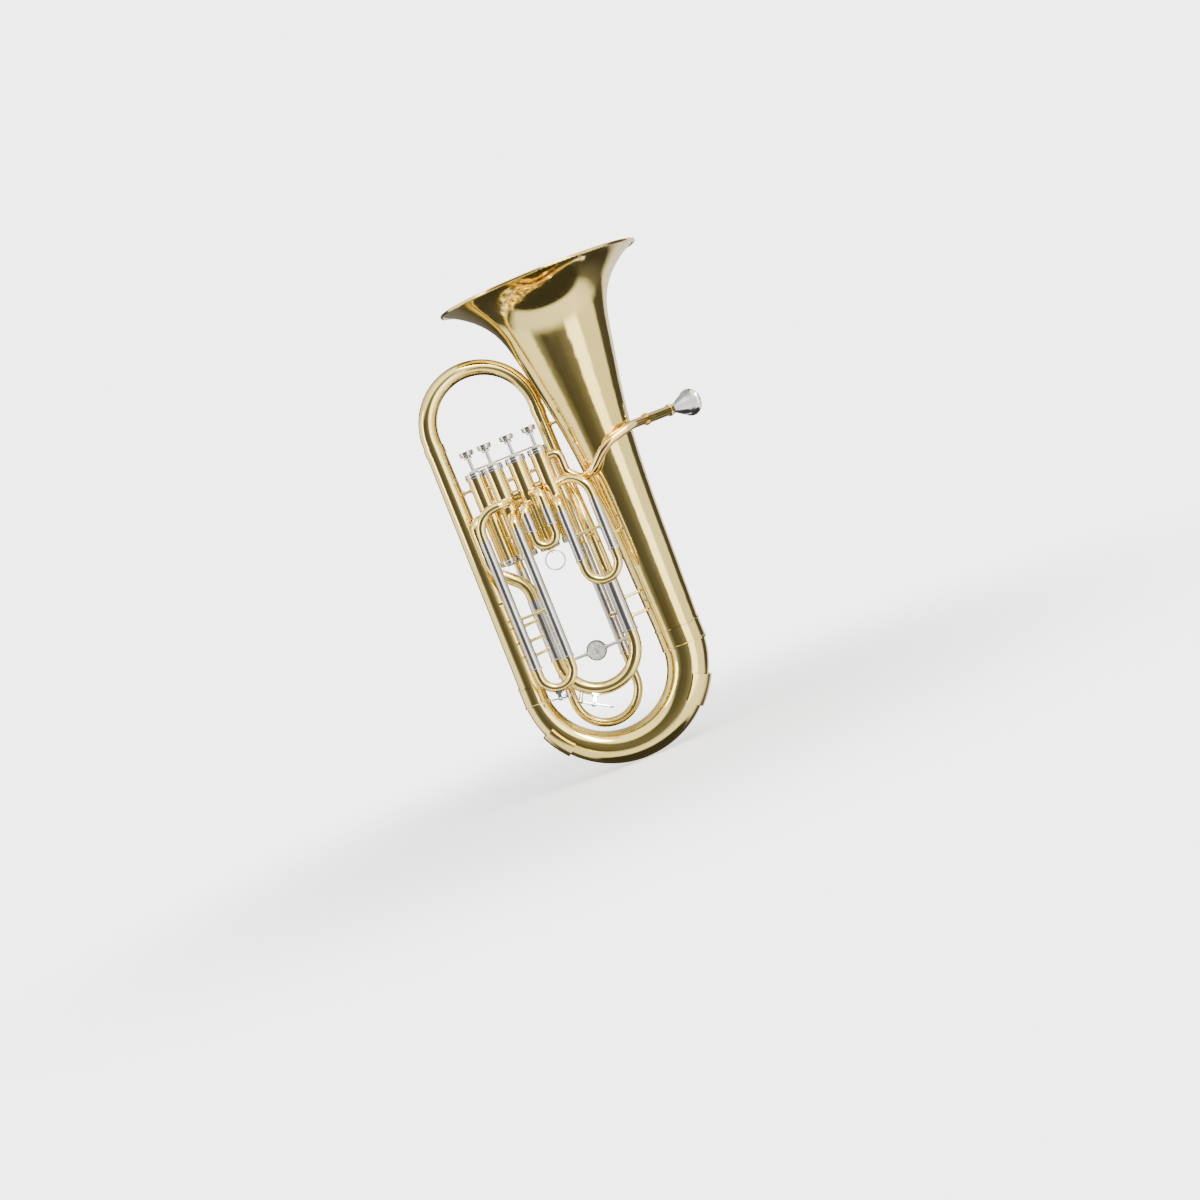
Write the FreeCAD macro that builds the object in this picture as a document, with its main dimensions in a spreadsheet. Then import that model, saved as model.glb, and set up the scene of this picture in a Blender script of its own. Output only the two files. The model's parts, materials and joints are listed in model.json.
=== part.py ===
import FreeCAD, Part
import math
import os
import re
import Sketcher

# A four-valve top-action euphonium, standing on its bottom bow.
# Frame: +Z up along the bell, +X from the valves towards the bell, +Y away from the slides' front.
# The origin is the lowest point of the bow guard, under the centre of the bottom bow.

V = FreeCAD.Vector
UP = V(0, 0, 1)
NO_TURN = FreeCAD.Rotation()

SIZES = [
    # overall layout
    ("bow_radius", 107.5), ("rim_height", 656),
    ("bell_joint_height", 139), ("branch_joint_height", 136), ("loop_joint_height", 491),
    # bell: radius at each depth below the rim, and its sheet
    ("rim_radius", 138.6), ("lip_depth", 15), ("lip_radius", 112), ("flare_depth", 45),
    ("flare_radius", 83.5), ("waist_depth", 105), ("waist_radius", 65), ("throat_depth", 200),
    ("throat_radius", 47.5), ("neck_depth", 325), ("neck_radius", 37), ("tail_radius", 30.5),
    ("bell_wall", 0.7), ("bead_width", 4.4), ("bead_height", 4.4), ("bead_round", 1.5),
    # large tubing
    ("branch_lower_radius", 16.5), ("branch_upper_radius", 13.4), ("branch_wall", 0.8),
    ("inner_branch_x", 42), ("inner_branch_y", 20), ("inner_branch_radius", 9.25),
    ("branch_bend", 250), ("branch_bend_height", 436), ("branch_bend_drop", 130),
    ("ferrule_height", 30), ("ferrule_wall", 1.0), ("loop_ferrule_height", 12),
    ("solder_sink", 0.1),
    # bow guard
    ("guard_wall", 1.2), ("guard_lift", 3.4), ("guard_half_angle", 46), ("guard_end_angle", 65),
    ("guard_wrap", 6),
    # valves
    ("valve_y", -23), ("first_valve_x", 20.5), ("valve_spacing", 32), ("fourth_valve_x", -69.5),
    ("fourth_valve_y", -11), ("casing_bore", 21.8), ("casing_wall", 1.6), ("casing_bottom", 314),
    ("casing_top", 443), ("running_gap", 0.05), ("piston_bottom", 366), ("piston_length", 66),
    ("piston_wall", 1.2), ("port_radius", 5.7),
    ("cap_wall", 1.25), ("cap_skirt", 6.5), ("cap_plate", 2.2), ("cap_hub_radius", 6),
    ("stem_radius", 2.5), ("button_height", 466), ("button_radius", 10), ("button_depth", 9.5),
    ("felt_height", 2), ("felt_radius", 6.2), ("coil_radius", 7.5), ("coil_wire", 0.55),
    ("coil_turns", 9),
    # slide tubing
    ("tube_bore", 12.7), ("tube_wall", 0.7), ("slide_y", -49), ("back_slide_y", 34),
    ("main_bore", 17.9), ("main_y", -23), ("mouth_ring_height", 3), ("mouth_ring_wall", 0.9),
    # first slide
    ("first_slide_half", 23), ("first_slide_arc", 270.5), ("first_mouth", 281),
    # second slide
    ("second_slide_half", 14), ("second_slide_arc", 332), ("second_mouth", 341),
    ("second_sleeve_top", 368),
    # third slide
    ("third_slide_half", 23), ("third_slide_arc", 159), ("third_mouth", 169),
    # fourth slide
    ("fourth_slide_half", 45.25), ("fourth_slide_x", -15.75), ("fourth_slide_arc", 103.5),
    ("fourth_mouth", 140), ("fourth_sleeve_top", 300),
    ("sleeve_top", 354), ("leg_margin", 4),
    # main tuning slide
    ("tuning_half", 52.5), ("tuning_x", -6), ("tuning_arc", 163), ("tuning_mouth", 169),
    ("tuning_sleeve_top", 256),
    # heights at which the valve tubing enters the casings
    ("upper_port", 391), ("lower_port", 371), ("second_left_port", 378),
    ("second_right_port", 391), ("fourth_lower_port", 340), ("fourth_upper_port", 385),
    ("outlet_port", 383), ("leadpipe_port", 429), ("short_bend", 13.4),
    ("long_bend", 30), ("link_port", 396), ("link_radius", 6.6), ("upper_lug", 418),
    ("lower_lug", 346), ("lug_radius", 2.6), ("back_bend", 28), ("back_turn_reach", 38),
    ("back_turn_bend", 20), ("outlet_azimuth", 211), ("outlet_x", -96), ("outlet_y", -27),
    ("outlet_turn_height", 312), ("outlet_low_height", 278), ("outlet_first_bend", 14),
    ("outlet_turn_bend", 32), ("outlet_foot_bend", 32),
    # leadpipe: where it turns, and how tightly
    ("lead_run", 38), ("lead_front_gap", 9.5), ("lead_front_drop", 11), ("lead_side_shift", 27.5),
    ("lead_side_gap", 9), ("lead_side_drop", 3), ("lead_foot_shift", 45.5), ("lead_foot_gap", 4),
    ("lead_foot_drop", 7), ("lead_riser_lift", 9), ("lead_run_bend", 35), ("lead_front_bend", 40),
    ("lead_side_bend", 25), ("lead_foot_bend", 12), ("lead_riser_bend", 14), ("lead_top_bend", 9),
    # leadpipe, receiver and mouthpiece
    ("lead_radius", 6), ("lead_wall", 0.7), ("lead_riser_x", 46), ("receiver_x", 170.5),
    ("receiver_y", -18), ("receiver_height", 425), ("receiver_length", 60),
    ("receiver_radius", 6.9), ("receiver_yaw", 50), ("lead_seat", 12), ("shank_length", 24),
    ("shank_tip_radius", 5.1), ("shank_mouth_radius", 5.8), ("bore_radius", 4.3),
    ("throat_bore_radius", 3.3), ("cup_radius", 13), ("mouth_rim_radius", 19), ("cup_depth", 30),
    ("mouthpiece_length", 76),
    # heights of the stays
    ("bell_upper_stay", 214), ("bell_lower_stay", 187), ("bell_first_stay", 301),
    ("first_brace", 316), ("third_brace", 240), ("third_upper_stay", 230),
    ("third_middle_stay", 208), ("third_lower_stay", 188), ("fourth_stay", 196),
    ("branch_stay", 268), ("casing_stay", 424), ("loop_stay", 468), ("branch_swell", 1.7),
    # small parts
    ("stay_radius", 2.1), ("flange_radius", 3.8), ("flange_depth", 1.2), ("ring_radius", 13),
    ("ring_wire", 1.05), ("eye_radius", 2.7), ("eye_wire", 0.85), ("emblem_radius", 14),
    ("emblem_height", 162), ("emblem_depth", 4), ("emblem_rim", 1.8), ("emblem_recess", 0.8),
    ("pivot_radius", 1.2), ("knuckle_radius", 2.4), ("knuckle_width", 6), ("lug_wall", 1.4),
    ("key_arm_width", 4), ("key_arm_depth", 1.6), ("key_cup_radius", 4.4), ("nipple_radius", 2.7),
    ("nipple_bore", 1.6), ("cork_depth", 1.4), ("key_ear_radius", 2.5), ("key_foot_depth", 9),
    ("tuning_key_angle", 30), ("tuning_key_lean", 25), ("tuning_key_lift", 13),
    ("tuning_key_pad", -12), ("tuning_key_pivot", 7), ("tuning_key_touch", 31),
    ("third_key_angle", 8), ("third_key_lift", 8), ("third_key_pad", -8),
    ("third_key_pivot", 3), ("third_key_touch", 16),
]

doc = FreeCAD.newDocument("euphonium")
sheet = doc.addObject("Spreadsheet::Sheet", "sizes")
for row, (alias, number) in enumerate(SIZES, start=1):
    sheet.set("A%d" % row, alias)
    sheet.set("B%d" % row, str(number))
    sheet.setAlias("B%d" % row, alias)
doc.recompute()

parts = []


def bound(expression):
    """Point every alias of an expression, which always holds an underscore, at the sheet."""
    return re.sub(r"\b[a-z]+(?:_[a-z]+)+\b", lambda match: "sizes." + match.group(0), expression)


def value(expression):
    """Work out an expression of the sheet's aliases, in millimetres."""
    return float(sheet.evalExpression(bound(expression)))


def point(x, y, z):
    return V(value(x), value(y), value(z))


def origin_plane(body, role):
    return [feature for feature in body.Origin.OriginFeatures if feature.Role == role][0]


def flat_sketch(body, name, role="XZ_Plane", shift=("0", "0", "0"), turn=NO_TURN):
    """Add a sketch to one of the body's own planes, shifted by expressions in its own axes."""
    sketch = body.newObject("Sketcher::SketchObject", name)
    sketch.AttachmentSupport = (origin_plane(body, role), [""])
    sketch.MapMode = "FlatFace"
    sketch.AttachmentOffset = FreeCAD.Placement(V(), turn)
    for axis, expression in zip("xyz", shift):
        if expression != "0":
            sketch.setExpression("AttachmentOffset.Base." + axis, bound(expression))
    return sketch


def pin_to(sketch, index, position, along, expression):
    """Hold one point of a sketch at a distance from the sketch's origin, along one axis."""
    distance = value(expression)
    if abs(distance) < 1e-9:
        axis = -2 if along == "DistanceX" else -1
        sketch.addConstraint(Sketcher.Constraint("PointOnObject", index, position, axis))
        return
    rule = sketch.addConstraint(Sketcher.Constraint(along, -1, 1, index, position, distance))
    sketch.setExpression(".Constraints[%d]" % rule, bound(expression))


def draw_outline(sketch, outline):
    """Draw a closed outline whose corners are pairs of expressions."""
    corners = [V(value(across), value(up), 0) for across, up in outline]
    count = len(corners)
    for index in range(count):
        sketch.addGeometry(Part.LineSegment(corners[index], corners[(index + 1) % count]), False)
    for index in range(count):
        sketch.addConstraint(Sketcher.Constraint("Coincident", index, 2, (index + 1) % count, 1))
    for index, (across, up) in enumerate(outline):
        pin_to(sketch, index, 1, "DistanceX", across)
        pin_to(sketch, index, 1, "DistanceY", up)


def draw_circle(sketch, radius, across="0", up="0"):
    circle = Part.Circle(V(value(across), value(up), 0), UP, value(radius))
    index = sketch.addGeometry(circle, False)
    pin_to(sketch, index, 3, "DistanceX", across)
    pin_to(sketch, index, 3, "DistanceY", up)
    rule = sketch.addConstraint(Sketcher.Constraint("Radius", index, value(radius)))
    sketch.setExpression(".Constraints[%d]" % rule, bound(radius))


def new_body(label):
    body = doc.addObject("PartDesign::Body", label)
    body.AllowCompound = True
    return body


def place(body, base, turn=NO_TURN):
    body.Placement = FreeCAD.Placement(V(), turn)
    for axis, expression in zip("xyz", base):
        if expression != "0":
            body.setExpression("Placement.Base." + axis, bound(expression))


def turned(label, outline, base, turn=NO_TURN, rounded=None):
    """One piece turned about its own Z axis; rounded is the fillet of all its edges."""
    body = new_body(label)
    sketch = flat_sketch(body, label + "_outline")
    draw_outline(sketch, outline)
    turning = body.newObject("PartDesign::Revolution", label + "_turning")
    turning.Profile = sketch
    turning.ReferenceAxis = (sketch, ["V_Axis"])
    turning.Angle = 360
    doc.recompute()
    if rounded:
        fillet = body.newObject("PartDesign::Fillet", label + "_rounding")
        edges = ["Edge%d" % (n + 1) for n, edge in enumerate(turning.Shape.Edges)
                 if edge.Curve.TypeId == "Part::GeomCircle" and edge.isClosed()]
        fillet.Base = (turning, edges)
        fillet.setExpression("Radius", bound(rounded))
    place(body, base, turn)
    parts.append(body)
    return body


def turned_group(label, outline, places):
    """Equal pieces turned about upright axes that stand at the given places."""
    body = new_body(label)
    for number, (x, y, z) in enumerate(places, start=1):
        sketch = flat_sketch(body, "%s_outline_%d" % (label, number), "XZ_Plane",
                             (x, z, "0 - (%s)" % y))
        draw_outline(sketch, outline)
        turning = body.newObject("PartDesign::Revolution", "%s_turning_%d" % (label, number))
        turning.Profile = sketch
        turning.ReferenceAxis = (sketch, ["V_Axis"])
        turning.Angle = 360
        doc.recompute()
    parts.append(body)
    return body


def open_ports(body, ports, reach, radius="port_radius"):
    """Drill round ports through one side of a turned wall: (azimuth in degrees, height)."""
    for number, (azimuth, height) in enumerate(ports, start=1):
        before = body.Shape.Volume
        turn = FreeCAD.Rotation(V(0, 1, 0), azimuth + 90)
        name = "%s_port_%d" % (body.Name, number)
        sketch = flat_sketch(body, name + "_outline", "XZ_Plane", ("0", "0", "0"), turn)
        draw_circle(sketch, radius, "0", height)
        pocket = body.newObject("PartDesign::Pocket", name)
        pocket.Profile = sketch
        pocket.setExpression("Length", bound(reach))
        pocket.Reversed = True
        doc.recompute()
        if not body.Shape.Volume < before - 1:
            raise ValueError("port %s cuts nothing" % name)


def slide_bow(label, half, leg, outer, wall, base):
    """A U of tube: two upright legs joined below by a half circle about the piece's origin."""
    body = new_body(label)
    spine = flat_sketch(body, label + "_spine")
    radius = value(half)
    height = value(leg)
    spine.addGeometry(Part.LineSegment(V(-radius, height, 0), V(-radius, 0, 0)), False)
    around = Part.Circle(V(0, 0, 0), UP, radius)
    spine.addGeometry(Part.ArcOfCircle(around, math.pi, 2 * math.pi), False)
    spine.addGeometry(Part.LineSegment(V(radius, 0, 0), V(radius, height, 0)), False)
    spine.addConstraint(Sketcher.Constraint("Coincident", 1, 3, -1, 1))
    spine.addConstraint(Sketcher.Constraint("Tangent", 0, 2, 1, 1))
    spine.addConstraint(Sketcher.Constraint("Tangent", 1, 2, 2, 1))
    spine.addConstraint(Sketcher.Constraint("Vertical", 0))
    spine.addConstraint(Sketcher.Constraint("Vertical", 2))
    rule = spine.addConstraint(Sketcher.Constraint("Radius", 1, radius))
    spine.setExpression(".Constraints[%d]" % rule, bound(half))
    pin_to(spine, 0, 1, "DistanceY", leg)
    pin_to(spine, 2, 2, "DistanceY", leg)
    section = flat_sketch(body, label + "_section", "XY_Plane", ("0 - (%s)" % half, "0", leg))
    draw_circle(section, outer)
    draw_circle(section, "%s - %s" % (outer, wall))
    doc.recompute()
    pipe = body.newObject("PartDesign::AdditivePipe", label + "_tube")
    pipe.Profile = section
    pipe.Spine = (spine, [])
    place(body, base)
    parts.append(body)
    return body


def piece(label, shape, base=V(), turn=NO_TURN):
    """A piece that is bent in space, shaped from the sheet's values, then placed."""
    feature = doc.addObject("Part::Feature", label)
    feature.Shape = shape
    feature.Placement = FreeCAD.Placement(base, turn)
    parts.append(feature)
    return feature


def bent_path(points, radii):
    """Straight runs joined by tangent arcs, one radius for each inner point."""
    edges = []
    start = points[0]
    for before, corner, after, radius in zip(points, points[1:], points[2:], radii):
        back = (before - corner).normalize()
        ahead = (after - corner).normalize()
        half_turn = (math.pi - back.getAngle(ahead)) / 2
        setback = radius * math.tan(half_turn)
        first = corner + back * setback
        last = corner + ahead * setback
        bisector = (back + ahead).normalize()
        middle = corner + bisector * (radius / math.cos(half_turn) - radius)
        if (first - start).Length > 1e-6:
            edges.append(Part.LineSegment(start, first).toShape())
        edges.append(Part.Arc(first, middle, last).toShape())
        start = last
    if (points[-1] - start).Length > 1e-6:
        edges.append(Part.LineSegment(start, points[-1]).toShape())
    return Part.Wire(edges)


def even_tube(path, outer, wall):
    """A tube of one size along a path."""
    start = path.Edges[0]
    direction = start.tangentAt(start.FirstParameter)
    origin = start.valueAt(start.FirstParameter)
    rings = [Part.Wire([Part.Circle(origin, direction, radius).toShape()])
             for radius in (outer, outer - wall)]
    return path.makePipe(Part.makeFace(rings, "Part::FaceMakerBullseye"))


def tapered_solid(path, first_radius, last_radius):
    first = path.Edges[0]
    last = path.Edges[-1]
    shell = Part.BRepOffsetAPI.MakePipeShell(path)
    for edge, at, radius in ((first, first.FirstParameter, first_radius),
                             (last, last.LastParameter, last_radius)):
        circle = Part.Circle(edge.valueAt(at), edge.tangentAt(at), radius)
        shell.add(Part.Wire([circle.toShape()]))
    shell.build()
    shell.makeSolid()
    return shell.shape()


def tapered_tube(path, first_radius, last_radius, wall):
    """A tube whose outside changes evenly from one radius to another along a path."""
    outside = tapered_solid(path, first_radius, last_radius)
    inside = tapered_solid(path, first_radius - wall, last_radius - wall)
    return outside.cut(inside)


def rod(start, end, radius):
    return Part.makeCylinder(radius, (end - start).Length, start, end - start)


def ring_outline(inner, outer, low, high):
    return [(inner, low), (outer, low), (outer, high), (inner, high)]


# ---------------------------------------------------------------- shared places

# the bow hangs its guard's lowest point at the origin's height
BOW_CENTRE = "(bow_radius + (tail_radius + branch_lower_radius) / 2 + guard_wall)"

VALVES = [
    ("first", "first_valve_x", "valve_y"),
    ("second", "first_valve_x - valve_spacing", "valve_y"),
    ("third", "first_valve_x - 2 * valve_spacing", "valve_y"),
    ("fourth", "fourth_valve_x", "fourth_valve_y"),
]
CASING_RADIUS = "(casing_bore / 2 + casing_wall)"
SLEEVE_RADIUS = "(tube_bore / 2 + tube_wall)"
TUBE_RADIUS = "(tube_bore / 2 + solder_sink / 2)"
SLIDE_RADIUS = "(tube_bore / 2 - running_gap)"
MAIN_SLEEVE_RADIUS = "(main_bore / 2 + tube_wall)"
MAIN_TUBE_RADIUS = "(main_bore / 2 + solder_sink / 2)"
MAIN_SLIDE_RADIUS = "(main_bore / 2 - running_gap)"
VALVE_X = {name: x for name, x, y in VALVES}
SLIDE_TUNING_LEFT = "(tuning_x - tuning_half)"
SLIDE_TUNING_RIGHT = "(tuning_x + tuning_half)"
SLIDE_X = {
    "first": "(first_valve_x + first_slide_half)",
    "second": "(first_valve_x - valve_spacing)",
    "third": "(first_valve_x - 2 * valve_spacing - third_slide_half)",
    "fourth": "fourth_slide_x",
}
SLIDE_Y = {"first": "slide_y", "second": "slide_y", "third": "slide_y", "fourth": "back_slide_y"}
SLEEVE_TOP = {"first": "sleeve_top", "second": "second_sleeve_top", "third": "sleeve_top",
              "fourth": "fourth_sleeve_top"}


def leg_x(name, side):
    """The place of one leg of a slide: side is -1 for the left leg and 1 for the right."""
    return "(%s %s %s_slide_half)" % (SLIDE_X[name], "-" if side < 0 else "+", name)


# ---------------------------------------------------------------- bell and large tubing

BELL_LENGTH = "(rim_height - bead_height / 2 - bell_joint_height)"


def bell_curve(shift):
    """The bell's wall in the XZ half plane, from the rim down to the tail."""
    stations = [("rim_radius", "0"), ("lip_radius", "lip_depth"), ("flare_radius", "flare_depth"),
                ("waist_radius", "waist_depth"), ("throat_radius", "throat_depth"),
                ("neck_radius", "neck_depth"), ("tail_radius", BELL_LENGTH)]
    points = [V(value(radius) - shift, 0, -value(depth)) for radius, depth in stations]
    curve = Part.BSplineCurve()
    curve.interpolate(points)
    return curve


def make_bell():
    outside = bell_curve(0)
    inside = bell_curve(value("bell_wall"))
    rim = Part.LineSegment(inside.StartPoint, outside.StartPoint)
    tail = Part.LineSegment(outside.EndPoint, inside.EndPoint)
    edges = [rim.toShape(), outside.toShape(), tail.toShape(), inside.toShape()]
    wall = Part.Face(Part.Wire(Part.__sortEdges__(edges)))
    bell = wall.revolve(V(), UP, 360)
    piece("bell", bell, point("bow_radius", "0", "rim_height - bead_height / 2"))


def make_bell_bead():
    turned("bell_rim_bead",
           ring_outline("rim_radius - bead_width / 2", "rim_radius + bead_width / 2",
                        "0 - bead_height", "0"),
           ("bow_radius", "0", "rim_height"), rounded="bead_round")


def bottom_bow_path():
    bow = value("bow_radius")
    centre = value(BOW_CENTRE)
    right = Part.LineSegment(V(bow, 0, value("bell_joint_height")), V(bow, 0, centre))
    arc = Part.Arc(V(bow, 0, centre), V(0, 0, centre - bow), V(-bow, 0, centre))
    left = Part.LineSegment(V(-bow, 0, centre), V(-bow, 0, value("branch_joint_height")))
    return Part.Wire([right.toShape(), arc.toShape(), left.toShape()])


def make_bottom_bow():
    bow = tapered_tube(bottom_bow_path(), value("tail_radius"), value("branch_lower_radius"),
                       value("branch_wall"))
    piece("bottom_bow", bow)


def guard_shell(low, high, half_from, half_to, depth=None):
    """Part of a skin over the outside of the bow, between two angles from straight down. It
    reaches in to the guard's edge, and out from there by a depth, or all the way."""
    big = value("tail_radius")
    small = value("branch_lower_radius")
    path = bottom_bow_path()
    skin = tapered_solid(path, big + high, small + high).cut(
        tapered_solid(path, big + low, small + low))
    bow = value("bow_radius")
    deep = depth or 2 * big
    slab = Part.makePlane(deep, 4 * big, V(bow + value("guard_wrap"), -2 * big, 0), V(0, 0, 1))
    sector = slab.revolve(V(), V(0, 1, 0), half_to - half_from)
    sector.rotate(V(), V(0, 1, 0), 90 + half_from)
    sector.translate(V(0, 0, value(BOW_CENTRE)))
    return skin.common(sector)


def make_bow_guard():
    wall = value("guard_wall")
    lift = value("guard_lift")
    sink = value("solder_sink")
    inner = value("guard_half_angle")
    outer = value("guard_end_angle")
    step = math.degrees(wall / (value("bow_radius") + value("branch_lower_radius")))
    middle = guard_shell(-sink, wall, -inner, inner)
    pieces = []
    for side in (-1, 1):
        near, far = sorted((side * inner, side * outer))
        pieces.append(guard_shell(lift, lift + wall, near, far))
        pieces.append(guard_shell(-sink, lift + wall, near, far, wall))
        near, far = sorted((side * inner, side * (inner + step)))
        pieces.append(guard_shell(-sink, lift + wall, near, far))
        near, far = sorted((side * (outer - step), side * outer))
        pieces.append(guard_shell(-sink, lift + wall, near, far))
    guard = middle.multiFuse(pieces)
    piece("bow_guard", guard)


def make_outer_branch():
    length = "(loop_joint_height - branch_joint_height)"
    turned("outer_branch",
           [("branch_lower_radius - branch_wall", "0"), ("branch_lower_radius", "0"),
            ("branch_upper_radius", length), ("branch_upper_radius - branch_wall", length)],
           ("0 - bow_radius", "0", "branch_joint_height"))


def loop_ends():
    left = point("0 - bow_radius", "0", "loop_joint_height")
    right = point("inner_branch_x", "inner_branch_y", "loop_joint_height")
    return left, right


def make_top_bow():
    left, right = loop_ends()
    half = (right - left) / 2
    rise = value("loop_ferrule_height")
    first = left + UP * rise
    last = right + UP * rise
    crown = left + half + UP * (rise + half.Length)
    path = Part.Wire([Part.LineSegment(left, first).toShape(), Part.Arc(first, crown, last).toShape(),
                      Part.LineSegment(last, right).toShape()])
    piece("top_bow", tapered_tube(path, value("branch_upper_radius"), value("inner_branch_radius"),
                                  value("branch_wall")))


def make_inner_branch():
    left, top = loop_ends()
    bottom = point(SLIDE_TUNING_RIGHT, "main_y", "tuning_sleeve_top - leg_margin")
    upper = V(top.x, top.y, value("branch_bend_height"))
    lower = V(bottom.x, bottom.y, upper.z - value("branch_bend_drop"))
    bend = value("branch_bend")
    path = bent_path([top, upper, lower, bottom], [bend, bend])
    piece("inner_branch", tapered_tube(path, value("inner_branch_radius"),
                                       value(MAIN_TUBE_RADIUS), value("branch_wall")))


def make_ferrules():
    for label, x, middle, radius in (
            ("bell_ferrule", "bow_radius", "bell_joint_height", "tail_radius"),
            ("branch_ferrule", "0 - bow_radius", "branch_joint_height", "branch_lower_radius")):
        inner = "(%s - solder_sink)" % radius
        outer = "(%s + ferrule_wall)" % radius
        bead = "(%s + 0.7)" % outer
        half = "ferrule_height / 2"
        outline = [(inner, "0 - " + half), (bead, "0 - " + half), (bead, "2.4 - " + half),
                   (outer, "3.1 - " + half), (outer, half + " - 3.1"), (bead, half + " - 2.4"),
                   (bead, half), (inner, half)]
        turned(label, outline, (x, "0", middle))
    for label, radius, x, y in (
            ("loop_ferrule_outer", "branch_upper_radius", "0 - bow_radius", "0"),
            ("loop_ferrule_inner", "inner_branch_radius", "inner_branch_x", "inner_branch_y")):
        inner = "(%s - solder_sink)" % radius
        outer = "(%s + ferrule_wall)" % radius
        outline = ring_outline(inner, outer, "0 - loop_ferrule_height / 2", "loop_ferrule_height / 2")
        turned(label, outline, (x, y, "loop_joint_height"))


# ---------------------------------------------------------------- valves

PORTS = {
    "first": [(-90, "lower_port"), (-29.5, "upper_port"), (0, "leadpipe_port")],
    "second": [(-118.3, "second_left_port"), (-61.7, "second_right_port")],
    "third": [(-90, "lower_port"), (-90, "upper_port")],
    "fourth": [(78.6, "fourth_lower_port"), (180, "outlet_port")],
}


def make_casings():
    for number, (name, x, y) in enumerate(VALVES, start=1):
        label = "valve_casing_%d" % number
        body = turned(label, ring_outline("casing_bore / 2", CASING_RADIUS, "casing_bottom",
                                          "casing_top"), (x, y, "0"))
        open_ports(body, PORTS[name], CASING_RADIUS + " + 1")


def make_caps():
    places = [(x, y, "casing_top") for name, x, y in VALVES]
    cap_radius = "(%s + cap_wall)" % CASING_RADIUS
    seat = "(%s - solder_sink)" % CASING_RADIUS
    hole = "(stem_radius + running_gap)"
    top = [(hole, "0"), (seat, "0"), (seat, "0 - cap_skirt"), (cap_radius, "0 - cap_skirt"),
           (cap_radius, "cap_plate - 1"), (cap_radius + " - 1.2", "cap_plate"),
           ("cap_hub_radius + 0.6", "cap_plate"), ("cap_hub_radius", "cap_plate + 0.8"),
           (hole, "cap_plate + 0.8")]
    turned_group("top_caps", top, places)
    nose = "0 - cap_plate - 1.2"
    bottom = [("0", nose), ("5", nose), ("6.5", "0 - cap_plate"),
              (cap_radius + " - 1.6", "0 - cap_plate"), (cap_radius, "1.6 - cap_plate"),
              (cap_radius, "cap_skirt"), (seat, "cap_skirt"), (seat, "0"), ("0", "0")]
    turned_group("bottom_caps", bottom, [(x, y, "casing_bottom") for name, x, y in VALVES])


def make_felts():
    outline = ring_outline("stem_radius + 0.3", "felt_radius", "0", "felt_height")
    places = [(x, y, "casing_top + cap_plate + 0.8") for name, x, y in VALVES]
    turned_group("cap_felts", outline, places)


def make_valve_links():
    """Short tubes that pass the air from casing to casing, and the small lugs beside them."""
    links = []
    reach = value(CASING_RADIUS) - value("solder_sink")
    for (name, x, y), (other, next_x, next_y) in zip(VALVES, VALVES[1:]):
        start = point(x, y, "0")
        end = point(next_x, next_y, "0")
        direction = (end - start).normalize()
        for height, radius, hollow in (("link_port", "link_radius", True),
                                       ("upper_lug", "lug_radius", False),
                                       ("lower_lug", "lug_radius", False)):
            first = start + direction * reach + UP * value(height)
            last = end - direction * reach + UP * value(height)
            link = rod(first, last, value(radius))
            if hollow:
                bore = value(radius) - value("tube_wall")
                link = link.cut(rod(first - direction, last + direction, bore))
            links.append(link)
    piece("valve_links", Part.makeCompound(links))


def make_pistons():
    outer = "(casing_bore / 2 - running_gap)"
    inner = "(%s - piston_wall)" % outer
    floor = "piston_wall * 1.5"
    top = "piston_length"
    for number, (name, x, y) in enumerate(VALVES, start=1):
        outline = [("3", "0"), (outer, "0"), (outer, top), ("stem_radius - solder_sink", top),
                   ("stem_radius - solder_sink", top + " - " + floor), (inner, top + " - " + floor),
                   (inner, floor), ("3", floor)]
        body = turned("piston_%d" % number, outline, (x, y, "piston_bottom"))
        open_ports(body, [(azimuth, height + " - piston_bottom")
                          for azimuth, height in PORTS[name]
                          if value(height) - value("port_radius") > value("piston_bottom") + 2
                          and value(height) < value("piston_bottom + piston_length") - 8],
                   outer + " + 1")


def make_stems():
    start = "(piston_bottom + piston_length - piston_wall * 1.5)"
    for number, (name, x, y) in enumerate(VALVES, start=1):
        outline = [("0", "0"), ("stem_radius", "0"), ("stem_radius", "button_height - " + start),
                   ("0", "button_height - " + start)]
        turned("stem_%d" % number, outline, (x, y, start))


def make_buttons():
    """Finger buttons: a waisted seat under a dished disc."""
    rim = "button_radius"
    foot = "(stem_radius * 2)"
    for number, (name, x, y) in enumerate(VALVES, start=1):
        outline = [("0", "0"), (foot, "0"), (foot, "1.6"), (foot + " - 0.8", "2"),
                   (rim + " - 1.4", "2.6"), (rim + " - 0.4", "3.4"), (rim + " - 0.4", "4.8"),
                   (rim + " - 1", "5.2"), (rim, "5.8"), (rim, "button_depth - 0.8"),
                   (rim + " - 0.8", "button_depth"), (rim + " - 2", "button_depth"),
                   (rim + " - 2.4", "button_depth - 0.8"), ("0", "button_depth - 1.4")]
        turned("finger_button_%d" % number, outline, (x, y, "button_height"))


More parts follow.
